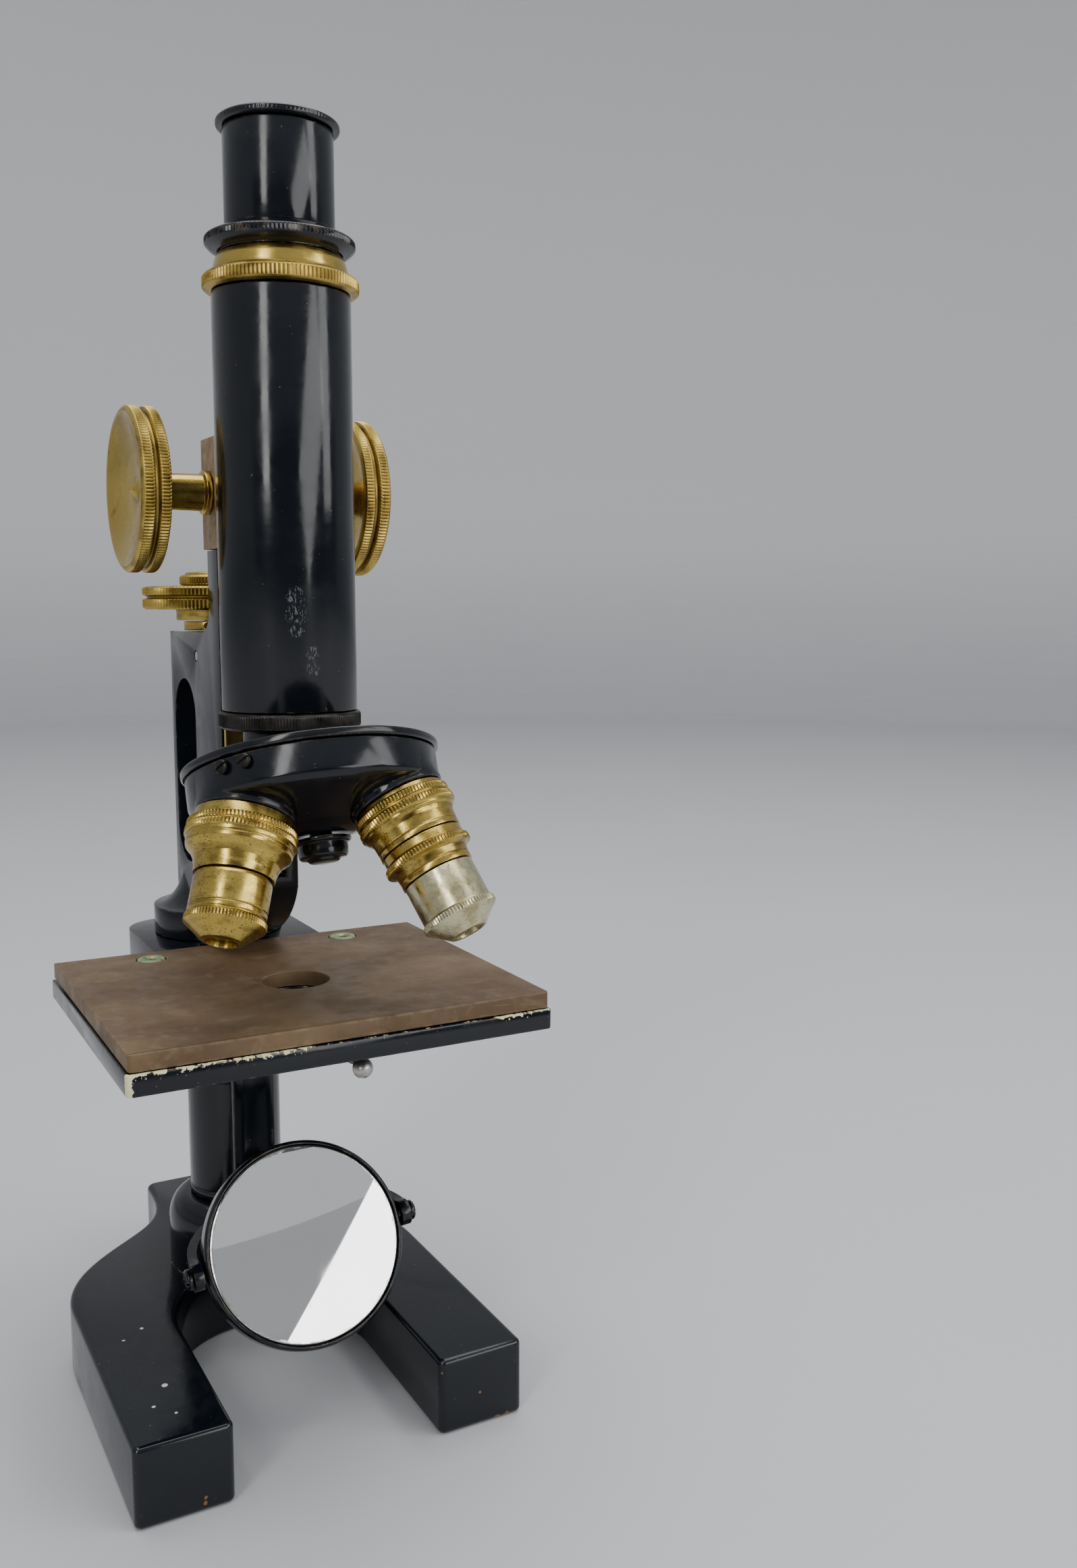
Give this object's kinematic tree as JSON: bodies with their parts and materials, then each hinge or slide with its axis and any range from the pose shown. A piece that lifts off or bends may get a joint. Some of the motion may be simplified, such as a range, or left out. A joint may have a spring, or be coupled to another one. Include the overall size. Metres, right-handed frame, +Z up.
{
  "type": "microscope",
  "caption": "Antique compound microscope with horseshoe base, inclining handle arm, coarse and fine focus, square stage, rotating nosepiece and a swinging mirror.",
  "frame": {"origin": "on the table, under the pillar axis, in the plane of the base's underside", "axes": "+Z up along the pillar, -Y towards the stage and the open end of the base, +X to the right of a user who looks along +Y"},
  "size_m": [0.1032, 0.177, 0.3242],
  "materials": {
    "lacquer": "glossy black lacquer, worn at the edges",
    "brass": "lacquered brass with brown patina",
    "bronze": "bare bronze, matt",
    "steel": "bright steel, slightly tarnished",
    "nickel": "old nickel plate, satin",
    "vulcanite": "brown aged hard rubber, matt",
    "glass": "clear lens",
    "mirror": "silvered glass"
  },
  "bodies": {
    "stand": {"horseshoe_base": "lacquer", "pillar": "lacquer", "hinge_axle": "steel", "hinge_nut_left": "steel", "hinge_nut_right": "steel"},
    "limb": {"stage_bracket": "lacquer", "arm": "lacquer", "stage_plate": "lacquer", "stage_top": "vulcanite", "clip_socket_left": "brass", "clip_socket_right": "brass", "stage_screw_left": "steel", "stage_screw_right": "steel", "iris_housing": "lacquer", "iris_leaves": "steel", "fine_neck": "brass", "fine_lever_pin": "steel", "fine_return_spring": "steel", "tail_bar_screw": "steel"},
    "iris": {"iris_lever": "steel"},
    "fine_screw": {"fine_head": "brass", "fine_lock_cap": "brass", "fine_spindle": "steel"},
    "fine_rocker": {"fine_lever": "steel"},
    "focus_carriage": {"focus_block": "bronze", "pinion_sleeve_left": "brass", "pinion_sleeve_right": "brass"},
    "pinion": {"coarse_pinion": "steel", "coarse_knob_left": "brass", "coarse_knob_right": "brass"},
    "body_tube": {"tube_slide": "brass", "rack": "steel", "main_tube": "lacquer", "tube_lower_ring": "lacquer", "tube_collar": "brass", "nosepiece_mount": "lacquer", "nosepiece_nut": "lacquer"},
    "draw_tube_body": {"draw_tube": "nickel", "draw_tube_flange": "lacquer"},
    "eyepiece": {"eyepiece_body": "lacquer", "eyepiece_cap": "lacquer", "eye_lens": "glass", "field_lens": "glass"},
    "revolver": {"nosepiece_shell": "lacquer", "rim_screw_front": "steel", "rim_screw_back": "steel", "low_objective_collar": "brass", "low_objective_barrel": "brass", "low_objective_lens": "glass", "high_objective_collar": "brass", "high_objective_barrel": "brass", "high_objective_nose": "nickel", "high_objective_lens": "glass"},
    "tail_bar_body": {"tail_bar": "lacquer"},
    "fork": {"mirror_fork": "lacquer", "mirror_pivot_left": "steel", "mirror_pivot_right": "steel"},
    "mirror_body": {"mirror_ring": "lacquer", "mirror_flat": "mirror", "mirror_concave": "mirror"}
  },
  "joints": [
    {"name": "inclination", "type": "hinge", "parent": "stand", "child": "limb", "pos_m": [0, 0, 0.092], "axis": [-1, 0, 0], "range_deg": [0, 90]},
    {"name": "iris_turn", "type": "hinge", "parent": "limb", "child": "iris", "pos_m": [0, -0.058, 0.102], "axis": [0, 0, 1], "range_deg": [-35, 35]},
    {"name": "fine_focus", "type": "hinge", "parent": "limb", "child": "fine_screw", "pos_m": [0, 0.008, 0.21], "axis": [0, 0, 1], "range_deg": [-144.1, 1152.1]},
    {"name": "fine_lever_rock", "type": "hinge", "parent": "limb", "child": "fine_rocker", "pos_m": [0, -0.0095, 0.1981], "axis": [-1, 0, 0], "range_deg": [-1.5, 6]},
    {"name": "fine_slide", "type": "slide", "parent": "limb", "child": "focus_carriage", "axis": [0, 0, 1], "range_m": [-0.0002, 0.0016], "deforming": ["fine_return_spring"]},
    {"name": "coarse_focus", "type": "hinge", "parent": "focus_carriage", "child": "pinion", "pos_m": [0, -0.0281, 0.2406], "axis": [-1, 0, 0], "range_deg": [-11.5, 515.7]},
    {"name": "tube_travel", "type": "slide", "parent": "focus_carriage", "child": "body_tube", "axis": [0, 0, 1], "range_m": [-0.001, 0.045]},
    {"name": "draw_tube_slide", "type": "slide", "parent": "body_tube", "child": "draw_tube_body", "axis": [0, 0, 1], "range_m": [0, 0.05]},
    {"name": "eyepiece_lift", "type": "slide", "parent": "draw_tube_body", "child": "eyepiece", "axis": [0, 0, 1], "range_m": [0, 0.04]},
    {"name": "nosepiece_turn", "type": "hinge", "parent": "body_tube", "child": "revolver", "pos_m": [0, -0.058, 0.2144], "axis": [0, -0.342, -0.9397], "continuous": true},
    {"name": "tail_bar_swing", "type": "hinge", "parent": "limb", "child": "tail_bar_body", "pos_m": [0, -0.0198, 0.101], "axis": [0, 1, 0], "range_deg": [-45, 45]},
    {"name": "fork_turn", "type": "hinge", "parent": "tail_bar_body", "child": "fork", "pos_m": [0, -0.032, 0.0476], "axis": [0, 1, 0], "continuous": true},
    {"name": "mirror_tilt", "type": "hinge", "parent": "fork", "child": "mirror_body", "pos_m": [0, -0.0598, 0.0476], "axis": [0.9962, 0, 0.0872], "continuous": true}
  ],
  "couplings": [
    {"joint": "fine_focus", "follows": "fine_slide", "rad_per_m": 12566},
    {"joint": "fine_lever_rock", "follows": "fine_slide", "rad_per_m": 54},
    {"joint": "coarse_focus", "follows": "tube_travel", "rad_per_m": 200}
  ]
}
